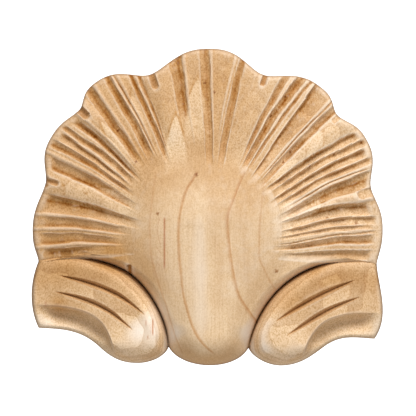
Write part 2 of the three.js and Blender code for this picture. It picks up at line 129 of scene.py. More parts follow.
# Unevenness of the strokes along a flute, as size, rate and phase of waves: of its course in degrees,
# of its depth, and of how dark its floor is
DRIFT = [(0.12, 0.34, 2.1), (0.08, 0.71, 1.3)]
STROKES = [(0.16, 0.52, 2.7), (0.08, 1.27, 1.0)]
MOTTLES = [(1.0, 0.9, 1.7), (1.0, 0.37, 1.0)]
FLOOR_MOTTLE = 0.45
# Marks that tools left, as height in millimetres, size and seed: on the shell, in the torn floors,
# along the flow of the flutes, and on the leaves
RASP_MARKS = [(0.07, 2.6, 11.0), (0.05, 1.1, 12.0)]
TORN_MARKS = [(0.2, 0.8, 14.0)]
FLOW_MARKS = [(0.06, 1.0, 13.0)]
FLOW_SCALE = (0.9, 0.2)  # of degrees and of distance from the hub
FLOW_MARKS_SPAN = (22, 30)
LEAF_MARKS = [(0.08, 3.0, 21.0), (0.05, 1.2, 22.0)]

# The flow lines are straight near the rim and turn on their way in, by degrees for each angle
SWEEP = np.array([[-60, 0], [-20, -8], [0, -6.5], [20, -7.5], [35, -2.5], [65, -1.8],
                  [95, -1], [110, 2.5], [130, 4.5], [170, 4.3], [190, 6], [225, 0]])
SWEEP_START = 38.3
SWEEP_INNER = 21.3
SWEEP_MOST = 1.63
SWEEP_BEND = 1.7

TONGUE_AXIS = 0.2
TONGUE_HALF_WIDTH = (13.6, 25.0)  # at its foot, and where it spreads into the fan
TONGUE_WIDENING = (-38, -6)
TONGUE_TOP = 17.0  # plan height at which it has sunk into the fan
TONGUE_FULL = -5.0  # and below which it is at its full height
TONGUE_FALL = 1.3
FOOT_ROLL = 8.4  # length of the rounding at its foot
FOOT = [[-11.1, -39.7], [-7.5, -46.4], [7.9, -46.9], [11.6, -40]]

# Outlines of the leaves as chains of curves, and the slits, the veins, as vein_at reads them
LEAVES = {
    "left": {
        "crease": [[-48, -15.3], [-40.2, -13.3], [-28.3, -13.9], [-21.2, -19.5],
                   [-15.8, -23.9], [-11.2, -32.6], [-11.1, -39.7]],
        "side": [[-48, -15.3], [-50.7, -21.5], [-50.7, -28.9], [-48, -34.3]],
        "lower": [[-48, -34.3], [-41.9, -34.7], [-36.2, -34.4], [-30.4, -40],
                  [-27.4, -42.7], [-24.6, -44.3], [-20, -44.3]],
        "end": [[-11.1, -39.7], [-11.5, -41.7], [-15.2, -44.3], [-20, -44.3]],
        "veins": [[0.25, 0.295, 0.215], [0.47, 0.515, 0.47]],
    },
    "right": {
        "crease": [[48, -16.1], [41, -14.6], [31.3, -14.7], [23.1, -20.8],
                   [17.1, -25.1], [12.6, -33.4], [11.6, -40]],
        "side": [[48, -16.1], [48.6, -22.9], [52, -30.9], [47.4, -37.4]],
        "lower": [[47.4, -37.4], [41.8, -37.1], [37.8, -36.1], [33, -39.7],
                  [29.6, -42.2], [26.2, -45], [20.8, -45]],
        "end": [[11.6, -40], [12.3, -42.2], [16.6, -45], [20.8, -45]],
        "veins": [[0.24, 0.343, 0.255], [0.455, 0.555, 0.5]],
    },
}
VALLEY_REACH = (3.0, 1.9)  # width of the valley beside a leaf, at the foot and further out
VALLEY_NARROWING = (14, 30)
SHALLOWING = (28, 38)  # plan distances from the middle between which the creases run out
TUCK = 2.6  # how far the shell goes on under a leaf
CORE_SHARE = 0.42  # share of the radius within which the mesh is made of plain circles
COLUMN_STEP = 0.34  # degrees
CREASE_SHARE = 0.94  # share of a column that lies above the leaf that it tucks in under
CREASE_START = 5 / 18  # share along a crease at which the fan ends

# Places along a leaf are shares of the way from its outer side to its inner end, and places across it
# are shares of the way down from its crease
CREASE_ROLL = (3.0, 4.6)  # rounding of a leaf into its crease, from its outer side to its end
CREASE_ROLL_SPAN = (0.15, 0.7)
END_ROLL = 6.0  # rounding of the knuckle's free edge
SIDE_ROLL = 1.4  # and of the other free edges
VEIN_SPAN = (0.16, 0.72)
VEIN_TAPER = 0.7  # below 1 keeps the slits deep nearer to their ends
COVE_LINE = 0.65  # across, where the cove begins at the outer side
COVE_LOWEST = 0.9
COVE_TURN = (0.4, 0.82)  # along, where the cove runs down to the lower edge
COVE_SIDES = (0.9, 1.7)  # steepness of its upper side and of its lower one
COVE_START = (0.0, 0.2)
BELLY = 0.5  # along, where the leaf is as high as it gets before the knuckle
KNUCKLE = 0.8


def lerp(a, b, t):
    return a + (b - a) * t


def reach(x, a, b):
    return np.clip((x - a) / (b - a), 0, 1)


def smooth(x, a, b):
    t = reach(x, a, b)
    return t * t * (3 - 2 * t)


def between(x, low, high, fade):
    return smooth(x, low, low + fade) * (1 - smooth(x, high - fade, high))


def roll(inside, width):
    return np.sqrt(1 - (1 - reach(inside, 0, width)) ** 2)


def hump(share):
    return 1 - (2 * np.clip(share, 0, 1) - 1) ** 2


def wander(points, scale, seed):
    """Smooth noise from -1 to 1 at plan points, with features about scale hundredths across."""
    return np.array([noise.noise(Vector((u / scale, v / scale, seed))) for u, v in points])


class Path:
    """A chain of cubic curves, read by share of its length."""

    def __init__(self, points, fine=200):
        points = np.array(points, float)
        t = np.linspace(0, 1, fine)[:, None]
        parts = []
        for i in range(0, len(points) - 3, 3):
            a, b, c, d = points[i:i + 4]
            part = a * (1 - t) ** 3 + 3 * b * t * (1 - t) ** 2 + 3 * c * t * t * (1 - t) + d * t ** 3
            parts.append(part[1:] if i else part)
        self.fine = np.vstack(parts)
        steps = np.hypot(*np.diff(self.fine, axis=0).T)
        self.share = np.concatenate([[0], np.cumsum(steps)]) / steps.sum()

    def at(self, share):
        return np.stack([np.interp(share, self.share, self.fine[:, k]) for k in (0, 1)], axis=-1)


def traced(points, count):
    return Path(points).at(np.linspace(0, 1, count))


def distance(line, points):
    """Distance from each point to a line of points."""
    best = np.full(len(points), np.inf)
    for a, b in zip(line[:-1], line[1:]):
        along = b - a
        share = np.clip((points - a) @ along / (along @ along), 0, 1)
        best = np.minimum(best, np.hypot(*(points - a - share[:, None] * along).T))
    return best


def rim_distance(angle):
    i = np.searchsorted(VALLEYS[1:-1, 0], angle)
    before = angle < CRESTS[i, 0]
    valley = np.where(before[:, None], VALLEYS[i], VALLEYS[i + 1])
    share = np.clip((angle - valley[:, 0]) / (CRESTS[i, 0] - valley[:, 0]), 0, 1) ** SCALLOP_FULLNESS
    rise = share ** 3 * (share * (6 * share - 15) + 10)
    return lerp(valley[:, 1], CRESTS[i, 1], rise)


def turn_at(angle, out):
    inward = np.maximum(0, SWEEP_START - out) / (SWEEP_START - SWEEP_INNER)
    return np.interp(angle, SWEEP[:, 0], SWEEP[:, 1]) * np.minimum(SWEEP_MOST, inward ** SWEEP_BEND)


def flow_point(angle, out):
    turned = np.radians(angle + turn_at(angle, out))
    return np.stack([HUB[0] + out * np.cos(turned), HUB[1] + out * np.sin(turned)], axis=-1)


def flow_line(points, near):
    """Angle at the rim of the flow line through each point, and the point's distance from the hub."""
    x, y = (points - HUB).T
    out = np.hypot(x, y)
    turned = np.degrees(np.arctan2(y, x))
    turned = turned + 360 * np.round((near - turned) / 360)
    angle = turned
    for _ in range(20):
        angle = turned - turn_at(angle, out)
    return angle, out


CREASES = [traced(leaf["crease"], 90) for leaf in LEAVES.values()]
FOOT_LINE = traced(FOOT, 60)


def waves(rows, out, number):
    return sum(size * np.sin(out * rate + phase * number) for size, rate, phase in rows)


def marks(rows, points):
    return sum(height * wander(points, size, seed) for height, size, seed in rows)


def flute_edges(flute, out):
    """Where a flute begins, in degrees at each distance from the hub, and how wide it is there."""
    first, last, inner_first, inner_last = flute[:4]
    inside = np.clip((out - FLUTE_SPAN[0]) / (FLUTE_SPAN[1] - FLUTE_SPAN[0]), *FLUTE_BEYOND)
    start = lerp(first, inner_first, inside)
    return start, lerp(last, inner_last, inside) - start


def flutes_at(angle, out, end):
    """How far the flutes sink, in millimetres, how dark their floors are painted, as painted shade with
    some torn grain, and how dark the painted shade line at the bottom of each is. Each was cut by hand
    in a few strokes."""
    cut, dark, line = np.zeros((3, len(angle)))
    number = 0
    for (stop, flutes), lit, share_of_depth in zip(LOBES, LIT_SIDE, LOBE_DEPTH):
        for flute in flutes:
            number += 1
            inner, floor, tone = flute[4:]
            start, width = flute_edges(flute, out)
            share = (angle + waves(DRIFT, out, number) - start) / width
            crevice = np.exp(-((share - floor) * width / CREVICE) ** 2)
            side = share / floor if floor > 0.5 else (1 - share) / (1 - floor)
            lopsided = min(1, abs(floor - 0.5) / LOPSIDED) * (1 - lit)
            shade = 1 - lopsided * (1 - np.clip(side, 0, 1) ** 2)
            beyond_floor = 0.5 + (share - floor) / (2 - 2 * floor)
            share = np.where(share < floor, share / (2 * floor), beyond_floor)
            profile = hump(share) ** lerp(*FLUTE_FULLNESS, smooth(width, *FLUTE_WIDTHS))
            if stop:
                here = stop + STOP_DRIFT[0] * math.sin(STOP_DRIFT[1] * number)
                profile = profile * smooth(end - out, here - STOP_FADE, here + STOP_FADE)
            profile = profile * smooth(out, inner, inner + FLUTE_ENTRY)
            depth = FLUTE_DEPTH * share_of_depth * lerp(PALE_DEPTH, 1, tone)
            depth = depth * np.minimum(1, width / FULL_FLUTE) ** NARROW_DEPTH
            cut += depth * (1 + waves(STROKES, out, number)) * profile
            fast, slow = [waves([row], out, number) for row in MOTTLES]
            tone = tone * lerp(INNER_TONE, 1, smooth(out, *TONE_SPAN))
            tone = tone * (1 - FLOOR_MOTTLE * (0.5 + 0.5 * fast * slow))
            # A floor's darkness is painted shade, darkest on the side turned away from the light
            dark = np.maximum(dark, tone * profile * shade)
            # The line at the bottom of the flute is painted shade
            line = np.maximum(line, tone * crevice * np.minimum(1, LINE_FULL * profile))
    return cut, dark, line


# Gouge cuts into the rim: angle, outer and inner distance from the hub, half width, depth, darkness of
# the painted shade in it
NOTCHES = [(163.4, 48.8, 46.2, 1.7, 0.8, 0.4), (136.6, 50.5, 46.2, 1.3, 1.3, 0.6),
           (109.7, 47.3, 42.4, 1.05, 0.8, 0.6), (69.2, 47.5, 43.6, 0.8, 1.2, 0.7),
           (40.6, 49.8, 46.8, 0.8, 0.7, 0.2), (12.9, 48.6, 43.8, 1.35, 1.4, 0.1),
           (162.8, 48.8, 44.0, 0.8, 0.9, 0.6)]
NOTCH_BEYOND = 2  # how far beyond its outer end a notch keeps its width
# Short cuts beside the creases: plan start, plan end, half width, depth, darkness of the painted shade
# in it
NICKS = [((-22.1, -16.7), (-21.9, -20), 0.6, 1.1, 0.9), ((-45.2, -13.4), (-43.4, -13.6), 1.5, 0.5, 0.2),
         ((-40.6, -12.9), (-38.4, -13.2), 1.4, 0.5, 0.3),
         ((-35.6, -13.3), (-32.5, -14.1), 0.9, 0.35, 0.3)]


def gouged(points, start, end, half, depth, beyond):
    """Depth of a round-bottomed cut with round ends, which may go on beyond its start."""
    start, end = np.array(start), np.array(end)
    along = end - start
    length = np.hypot(*along)
    share = (points - start) @ along / length
    nearest = np.clip(share, -beyond, max(length - half, 0))
    across = np.hypot(*(points - start - nearest[:, None] * along / length).T)
    return depth * np.sqrt(np.clip(1 - (across / half) ** 2, 0, 1))


def cuts_at(points):
    """Depth of the notches and short cuts, in millimetres, and how dark their floors are painted, as
    painted shade.
    """
    cuts, dark = np.zeros((2, len(points)))
    rows = [(*nick, 0) for nick in NICKS]
    for at, outer, inner, *shape in NOTCHES:
        rows.append((*flow_point(np.array([at, at]), np.array([outer, inner])), *shape, NOTCH_BEYOND))
    for start, end, half, depth, tone, beyond in rows:
        cut = gouged(points, start, end, half, depth, beyond)
        cuts = np.maximum(cuts, cut)
        dark = np.maximum(dark, tone * cut / depth)
    return cuts, dark


def tool_marks(points, angle, out, dark):
    """Low ripples that the gouge and the rasp left, and the torn floors of the flutes."""
    ripple = marks(RASP_MARKS, points) + dark * marks(TORN_MARKS, points)
    along_flow = np.stack([angle * FLOW_SCALE[0], out * FLOW_SCALE[1]], axis=-1)
    return ripple + marks(FLOW_MARKS, along_flow) * smooth(out, *FLOW_MARKS_SPAN)


def ribs_at(angle, out):
    """How far the smooth ribs between the lobes rise, in millimetres."""
    rise = np.zeros_like(angle)
    for (_, before), (_, after) in zip(LOBES[:-1], LOBES[1:]):
        first, last = before[-1][1], after[0][0]
        rise += RIB_RISE * hump((angle - first) / (last - first))
    inside = (out - FLUTE_SPAN[0]) / (FLUTE_SPAN[1] - FLUTE_SPAN[0])
    for near_rim, inner in FILLETS:
        offset = (angle - lerp(near_rim, inner, inside)) / FILLET_HALF
        rise += FILLET_RISE * np.clip(1 - offset ** 2, 0, 1)
    return rise * smooth(out, *RIB_SPAN)


def edge_height(points, middle, outer):
    """Height at the creases, which run out shallow towards the outer sides."""
    return lerp(middle, outer, smooth(np.abs(points[:, 0]), *SHALLOWING))


def shell_height(angle, out, end, fan, tucked, points):
    dome = lerp(ROOT_HEIGHT, RIM_HEIGHT, (out / FAN_RADIUS) ** 2)
    swell = smooth(points[:, 1], TONGUE_FULL, TONGUE_TOP)
    half = lerp(*TONGUE_HALF_WIDTH, smooth(points[:, 1], *TONGUE_WIDENING))
    side = np.clip(np.abs(points[:, 0] - TONGUE_AXIS) / half, 0, 1)
    height = dome + (DEPTH - dome) * (1 - swell) * (1 - side ** 2) ** TONGUE_FALL
    cut, dark, _ = flutes_at(angle, out, end)
    rim = ribs_at(angle, out) - cut
    rim -= RIM_ROUND * (1 - roll((end - out) * UNIT, RIM_ROUND))
    height = height + np.where(fan, rim, 0)
    height = height - cuts_at(points)[0] + tool_marks(points, angle, out, np.where(fan, dark, 0))
    valley = np.minimum(*[distance(crease, points) for crease in CREASES])
    reach_here = lerp(*VALLEY_REACH, smooth(np.abs(points[:, 0]), *VALLEY_NARROWING))
    sunk = np.where(tucked, 0, roll(valley, reach_here))
    low = edge_height(points, LOW_EDGE, OUTER_EDGE)
    return np.minimum(DEPTH, lerp(low, height, sunk * roll(distance(FOOT_LINE, points), FOOT_ROLL)))


def spread(edges, step):
    """Angles from edge to edge, about a step apart."""
    runs = []
    for a, b in zip(edges[:-1], edges[1:]):
        count = max(2, round((b - a) / step))
        runs.append(np.linspace(a, b, count, endpoint=False))
    return np.concatenate(runs + [[edges[-1]]])


def shell_columns():
    """Angle, outer end and crease distance of each column of the shell's mesh, all the way round, and
    how many of them are on the fan. Only the columns that tuck in under a leaf have a crease."""
    edges = [VALLEYS[0, 0]] + [edge for _, flutes in LOBES for pair in flutes for edge in pair[:2]]
    angle = spread(sorted(edges + [VALLEYS[-1, 0]]), COLUMN_STEP)
    fan = [(a, e, np.nan) for a, e in zip(angle, rim_distance(angle))]

    def tucked(name, near):
        share = np.linspace(CREASE_START, 1, 60)[:-1]
        angle, out = flow_line(Path(LEAVES[name]["crease"]).at(share), near)
        return list(zip(angle, out + TUCK * np.sin(np.pi * share), out))

    angle, out = flow_line(traced(FOOT, 56), 270)
    foot = [(a, o, np.nan) for a, o in zip(angle, out)]
    return np.array(fan + tucked("left", 225) + foot + tucked("right", -45)[::-1]), len(fan)


def shell_mesh():
    columns, fans = shell_columns()
    core = CORE_SHARE * FAN_RADIUS
    inner = np.linspace(0, CORE_SHARE, 23)[1:]
    outer = CORE_SHARE + (1 - CORE_SHARE) * np.concatenate([
        np.linspace(0, 0.9, 56)[1:], [0.915, 0.93, 0.945, 0.958, 0.97, 0.98, 0.988, 0.994, 0.998, 1]])
    outer = np.unique(np.append(outer, CREASE_SHARE))
    points, height, rings = [HUB[None]], [[ROOT_HEIGHT]], []
    count = 1
    for share in np.concatenate([inner, outer]):
        keep = np.arange(len(columns))
        if share <= CORE_SHARE:
            keep = keep[(keep >= fans) | (keep % 2 == 0)]
        a, e, c = columns[keep].T
        stop = np.where(np.isnan(c), e, c)
        edge = np.where(np.isnan(c), 1, CREASE_SHARE)
        out = lerp(core, stop, np.minimum(1, (share - CORE_SHARE) / (edge - CORE_SHARE)))
        beyond = ~np.isnan(c) & (share > CREASE_SHARE)
        out = np.where(beyond, lerp(stop, e, (share - CREASE_SHARE) / (1 - CREASE_SHARE)), out)
        if share <= CORE_SHARE:
            out = np.full(len(keep), share * FAN_RADIUS)
        where = flow_point(a, out)
        tucked = ~np.isnan(c) & (share >= CREASE_SHARE)
        points.append(where)
        height.append(shell_height(a, out, e, keep < fans, tucked, where))
        rings.append((keep, np.arange(count, count + len(keep))))
        count += len(keep)
    points = np.vstack(points)
    height = np.concatenate(height)
    height[0] = height[1:1 + len(rings[0][0])].mean()
    first = rings[0][1]
    faces = [(0, a, b) for a, b in zip(first, np.roll(first, -1))]
    for inner_ring, outer_ring in zip(rings[:-1], rings[1:]):
        join(inner_ring, outer_ring, len(columns), faces)
    return points, height, faces, list(rings[-1][1])


def join(inner, outer, turn, faces):
    """Faces between two rings, the inner one with every column of the outer one or fewer."""
    (keys, near), (far_keys, far) = inner, outer
    if len(keys) == len(far_keys):
        n = len(keys)
        faces.extend((near[i], far[i], far[(i + 1) % n], near[(i + 1) % n]) for i in range(n))
        return
    j = 0
    keys = list(keys) + [turn + keys[0]]
    far_keys = list(far_keys) + [turn + far_keys[0]]
    for i in range(len(near)):
        while far_keys[j] < keys[i + 1]:
            faces.append((near[i], far[j], far[(j + 1) % len(far)]))
            j += 1
        faces.append((near[i], far[j % len(far)], near[(i + 1) % len(near)]))


def leaf_plan(leaf):
    crease, side, lower, end = [Path(leaf[name]) for name in ("crease", "side", "lower", "end")]

    def plan(s, t):
        s1, t1 = s[:, None], t[:, None]
        point = crease.at(s) * (1 - t1) + lower.at(s) * t1
        point += side.at(t) * (1 - s1) + end.at(t) * s1
        corners = [side.at(0.0), side.at(1.0), end.at(0.0), end.at(1.0)]
        point -= corners[0] * (1 - s1) * (1 - t1) + corners[1] * (1 - s1) * t1
        point -= corners[2] * s1 * (1 - t1) + corners[3] * s1 * t1
        return point
    return plan


def cove_line(s):
    return np.minimum(COVE_LOWEST, lerp(COVE_LINE, 1, reach(s, *COVE_TURN) ** 2))


def vein_at(vein, s):
    """Share of the way down a leaf at which a slit lies. A slit is given by that share at its outer
    end, in its middle and at its inner end."""
    share = reach(s, *VEIN_SPAN)
    outer, middle, inner = vein
    return (outer * (1 - share) * (1 - 2 * share) + middle * 4 * share * (1 - share)
            + inner * share * (2 * share - 1))


# Where a leaf's points lie, as shares from its crease to its upper slit and from its cove to its foot
ABOVE_SLITS = np.array([0, 0.012, 0.03, 0.06, 0.1, 0.15, 0.21, 0.28, 0.36, 0.44, 0.53, 0.62, 0.71, 0.8,
                        0.88, 0.95])
BELOW_COVE = np.array([0.02, 0.05, 0.1, 0.16, 0.22, 0.29, 0.36, 0.43, 0.5, 0.57, 0.64, 0.71, 0.78, 0.84,
                       0.89, 0.93, 0.96, 0.98, 0.993, 1])
ACROSS_SLIT = np.array([-1, -0.66, -0.33, 0, 0.33, 0.66, 1])


def leaf_mesh(leaf, mirrored):
    plan = leaf_plan(leaf)
    even = np.linspace(0, 1, 121)
    stations = lerp(even, even * even * (3 - 2 * even), 0.5)
    crease = traced(leaf["crease"], 90)
    side = traced(leaf["side"], 40)
    below = np.vstack([traced(leaf["lower"], 80), traced(leaf["end"], 40)[-2::-1]])
    points, height = [], []
    for s in stations:
        two = plan(np.array([s, s]), np.array([0.0, 1.0]))
        width = np.hypot(*(two[1] - two[0])) * UNIT
        swell = math.sin(math.pi * float(reach(s, *VEIN_SPAN))) ** VEIN_TAPER
        half = SLIT_WIDTH / 2 * max(swell, SLIT_NARROWEST) / width
        cove = float(cove_line(s))
        upper, lower = [float(vein_at(vein, s)) for vein in leaf["veins"]]
        t = np.concatenate([
            (upper - half) * ABOVE_SLITS,
            upper + half * ACROSS_SLIT,
            np.linspace(upper + half, lower - half, 13)[1:-1],
            lower + half * ACROSS_SLIT,
            np.linspace(lower + half, cove, 12)[1:],
            lerp(cove, 1, BELOW_COVE),
        ])
        cut = np.maximum(1 - np.abs(t - upper) / half, 1 - np.abs(t - lower) / half)
        cut = SLIT_DEPTH * swell * np.clip(cut, 0, 1)
        where = plan(np.full(len(t), s), t)
        belly = lerp(LEAF_TIP_HEIGHT, LEAF_BELLY_HEIGHT, smooth(s, 0, BELLY))
        ball = smooth(s, BELLY, KNUCKLE)
        crown = belly if s < BELLY else lerp(LEAF_BELLY_HEIGHT, KNUCKLE_HEIGHT, ball)
        under = np.clip((t - cove) / (1 - cove), 0, 1)
        a, b = COVE_SIDES
        deepest = (a / (a + b)) ** a * (b / (a + b)) ** b
        hollow = COVE_DEPTH * under ** a * (1 - under) ** b / deepest * smooth(s, *COVE_START)
        hollow += (crown - LIP_HEIGHT) * under
        body = crown - cut - hollow * (1 - ball)
        body = body + marks(LEAF_MARKS, where)
        free = roll(distance(side, where), SIDE_ROLL)
        free = free * roll(distance(below, where), lerp(SIDE_ROLL, END_ROLL, ball))
        rise = roll(distance(crease, where), lerp(*CREASE_ROLL, smooth(s, *CREASE_ROLL_SPAN)))
        points.append(where)
        skirt = edge_height(where, LEAF_SKIRT, OUTER_SKIRT)
        height.append(lerp(skirt, lerp(LEAF_FOOT, body, free), rise))
    deep, lines = len(points[0]), len(stations)
    faces = []
    for line in range(lines - 1):
        for i in range(line * deep, line * deep + deep - 1):
            faces.append((i, i + 1, i + deep + 1, i + deep))
    last = (lines - 1) * deep
    border = [*range(deep - 1), *range(deep - 1, last, deep),
              *range(last + deep - 1, last, -1), *range(last, 0, -deep)]
    if mirrored:
        faces = [face[::-1] for face in faces]
        border = border[::-1]
    return np.vstack(points), np.concatenate(height), faces, border


def added(name, data):
    """New object in the scene."""
    made = bpy.data.objects.new(name, data)
    bpy.context.scene.collection.objects.link(made)
    return made


def relief_object(name, points, height, faces, border):
    """Closed body of a relief: its front, its walls and the flat back."""
    points = points * UNIT * INSET
    front = np.stack([points[:, 0], -height, points[:, 1]], axis=1)
    back = front[border].copy()
    back[:, 1] = 0
    base = len(front)
    n = len(border)
    faces = [tuple(int(i) for i in face) for face in faces]
    for i in range(n):
        j = (i + 1) % n
        faces.append((int(border[i]), base + i, base + j, int(border[j])))
    flat = [Vector((x, z, 0)) for x, _, z in back]
    for a, b, c in geometry.tessellate_polygon([flat]):
        faces.append((base + a, base + b, base + c))
    mesh = bpy.data.meshes.new(name)
    mesh.from_pydata((np.vstack([front, back]) * MM).tolist(), [], faces)
    mesh.validate()
    bm = bmesh.new()
    bm.from_mesh(mesh)
    bmesh.ops.remove_doubles(bm, verts=bm.verts, dist=1e-7)
    bmesh.ops.recalc_face_normals(bm, faces=bm.faces)
    bm.to_mesh(mesh)
    bm.free()
    return added(name, mesh)


def joined(name, pieces):
    """One body from pieces that overlap."""
    first, *others = pieces
    for other in others:
        union = first.modifiers.new("union", "BOOLEAN")
        union.operation = "UNION"
        union.solver = "MANIFOLD"
        union.object = other
    shown = first.evaluated_get(bpy.context.evaluated_depsgraph_get())
    mesh = bpy.data.meshes.new_from_object(shown)
    for piece in pieces:
        bpy.data.objects.remove(piece)
    mesh.name = name
    return added(name, mesh)


SHARP = math.radians(38)
ornament = joined("carved_ornament", [
    relief_object("fan", *shell_mesh()),
    relief_object("left_leaf", *leaf_mesh(LEAVES["left"], False)),
    relief_object("right_leaf", *leaf_mesh(LEAVES["right"], True)),
])
mesh = ornament.data
mesh.shade_smooth()
mesh.set_sharp_from_angle(angle=SHARP)

# Growth lines down the tongue, as the plan x of each at a plan height, from the top down
TONGUE_LINES = {
    "height": [14, 8.8, 4.9, -1.9, -5.4, -14.5, -22.4, -26, -32.6, -37.7, -41.1, -44],
    "outer left": [-14, -14.9, -15.4, -16.1, -16.4, -15.9, -13.6, -12.2, -10.3, -8.7, -7.3, -6],
    "left": [-1.6, -3.5, -6.3, -8, -8.4, -8.2, -7.3, -6.8, -4.9, -2.6, 1.3, 5],
    "right": [12.3, 10, 8.4, 5.6, 5.6, 6.6, 7.9, 9.2, 14, 16, 17, 18],
    "outer right": [17, 16.3, 15.7, 15, 14.7, 14.4, 18.4, 21.5, 24, 26, 27, 28],
}
LINE_WINDOW = 27  # points, over which their corners are rounded
LINE_STRENGTH = (0.95, 0.55)  # of the two inner lines and the two outer ones
LINE_TOP = (9, 11)  # plan heights between which they fade out
LINE_FOOT = (40.5, 42)
# Mineral streaks, as plan x, lower and upper plan height, and strength
STREAKS = [(-12.2, -17.8, -2.5, 1.0), (-15.5, -36.5, -31.2, 1.0), (-17.4, -34, -31.5, 0.7),
           (-16.9, -37.6, -35.8, 0.8), (-45.9, -28.6, -26.3, 0.7)]
STREAK_HALF = 0.42  # millimetres
FAR = 9.0  # farther than a streak or a pore is seen
# Lighter wood that begins in a point: plan tip, plan middle of its base, its half width there, lightness
SPEARS = [((-30.5, 24.7), (-27.1, 19.9), 1.5, 0.5), ((-9, 26.2), (-9, 19.4), 2.4, 0.8),
          ((-2.7, 36.6), (-3, 32.6), 1.9, 0.6), ((-21.5, 33.2), (-20.9, 30.4), 1.3, 0.3),
          ((-34.1, 3.8), (-33.4, 3.6), 2.3, 0.5), ((-40.4, 6), (-39.7, 5.7), 2.0, 0.5),
          ((32.4, 21.3), (31.3, 20.5), 2.6, 0.5), ((27.6, 15.9), (26.3, 15.1), 2.3, 0.5),
          ((32.2, 1.2), (31, 0.9), 2.2, 0.5)]
SPEAR_EDGE = 0.3
SPEAR_FLARE = 0.65
SPEAR_HALF = 3.6  # widest that one gets to either side
# Dark pores and pin knots, as plan x and y and radius
PORES = [(-14.1, -1.8, 0.5), (19.4, -18.1, 0.6), (42.1, -4.6, 0.55), (33.7, -2.9, 0.45),
         (1.9, 32.5, 0.5), (23.4, 15.6, 0.5), (21.4, 12.8, 0.4), (43.5, 18.3, 0.5), (35.8, 15.1, 0.4),
         (28.8, 11.7, 0.4), (-25.4, 21.6, 0.5), (21.9, 31.3, 0.45), (18, 25.9, 0.4), (-0.8, 35.2, 0.4),
         (-20.3, 12.8, 0.4), (-3.2, 9.2, 0.5)]
# Soft patches where the wood is darker, or lighter if the amount is negative, as plan x and y, radius
# and amount. Some are painted light: shade in the coves, highlights on the knuckles and lips, and
# light beside the lower creases.
PATCHES = [(-0.2, 13.4, 5.5, 0.15), (0, -0.5, 8, 0.35), (-33, 5, 7, 0.2), (-22, -3, 5, -0.4),
           (-27, 10, 4, -0.4), (-40, -5, 9, 0.25), (46.6, -33.4, 3, -0.3), (0, -41.5, 6, 0.25),
           (3, 34, 5, 0.3), (37.5, -19.3, 5, 0.3), (-33.6, -29.5, 5, -0.25), (35, 26, 6, -0.2),
           (22, -5, 4, -0.4), (-46, -31.5, 2.5, -0.4), (-10, 21, 4, -0.2), (-40, -12.5, 6, 0.4),
           (40, -12.5, 7, 0.45), (-19.5, -35.5, 3.2, -0.7), (18, -36, 4, 0.35), (22, -26, 5, 0.35),
           (17, 11, 4, 0.3), (24, 16, 4, 0.3), (-25, -13.5, 4, 0.35), (-16, -19, 5, 0.2),
           (-17, 7, 7, 0.1), (14, 6, 7, 0.3), (-14, -30, 5, -0.6), (-8.5, -36, 3, -0.4),
           (13, -34, 4, -0.4), (39, -23, 5, -0.3), (26, 20, 7, 0.35), (38.5, 4.3, 5, 0.35),
           (22.8, 32.7, 4, 0.3), (10, 15, 5, -0.35), (-42, -27.5, 3, 0.8), (-36, -28.8, 3, 0.5),
           (-45, -32, 2.8, -0.2), (19, -30, 5, 0.1), (-9.5, -36, 3, -0.6), (10, -36, 3, -0.6),
           (16, -41, 3, -0.5), (-20, 15.5, 5, 0.45), (4, -1.4, 5, 0.25), (29, 27, 5, 0.45),
           (-28, -12.5, 4, 0.5)]
# Straight bands down the tongue where the wood is browner or lighter, as plan x, half width, lower and
# upper plan height, and amount
GRAIN_BANDS = [(-2.0, 2.2, -45, 8, -0.3), (2.8, 2.0, -31, -5, 0.3), (10.0, 3.2, -24, 6, 0.3)]
BAND_FADE = 5
# How dark the wood is before those, on the shell and on the leaves, where it is darker by the crease,
# partly as painted shade. Knuckles and lips get a painted highlight, and the tongue's crown is lighter.
SHELL_STAIN = 0.8
# The shell is lighter towards the right and darker towards the top
RIGHT_SIDE = (6, 24, -0.6)  # span across the plan, and what it adds
TOP = (20, 32, 0.1)
# Leaves darker by the crease, partly the wood and partly painted shade
LEAF_STAIN_AND_SHADE = (1.05, 0.5)  # by the crease, and away from it
LEAF_STAIN_AND_SHADE_SPAN = (5, 11)
# Painted shade in the cove under each leaf, and a painted highlight on its lip
COVE_SHADE = 0.1
LIP_HIGHLIGHT = -0.65
LIP = (1, 4.5)  # distances from the lower edge of a cove
# Painted highlight on the knuckles
KNUCKLE_TOP = (12.8, 15.6)  # heights in millimetres between which a knuckle brightens
KNUCKLE_SPAN = (27, 33)  # below the middle of the plan
TONGUE_CROWN = (14.5, 18.8)
# Painted light beside the lower creases, lifting their shade
PAINTED_CREASE_LIGHT = (4.5, 3.0, 0.9)  # reach beside a crease on the leaf and on the tongue, and amount
PAINTED_CREASE_LIGHT_SPAN = (16, 26)
PATCHY = 0.12
SPEAR_RIM = 0.9
# Range of the stain with its painted shade and painted light
STAIN_AND_LIGHT_RANGE = (-0.85, 1.35)
OPEN_SIDES = (30, 36)  # from the middle of the plan, where the lines in the creases end
# Lines of painted shade in the creases and the slits
CREASE_DARK = (0.3, 0.8)  # darkness of the line in the left crease and in the right one
CREASE_LINE = 0.42  # its half width
SLIT_DARK = 0.6
SLIT_ENDS = 0.25  # share of its half width that a slit's dark line keeps at its ends
# Growth lines that follow the carving
RING_STEP = 1.7  # millimetres of height from one to the next
RING_WANDER = 1.3
SHELL_RINGS = (0.45, 0.9)  # strength at the left and at the right
SHELL_RING_SPAN = (10, 25)
# Painted highlights along the ridges, weaker left of a plan x and on the leaves
RIDGE_HIGHLIGHT_LEFT = (4, 0.65)
RIDGE_HIGHLIGHT_LEAF = 0.55
RIDGE = 0.16  # millimetres that a ridge stands out
# The outline is darkened: painted shade on its rounded edge, and its darker end grain
RIM_LINE = (0.15, 0.75)  # distances from the outline within which it is dark


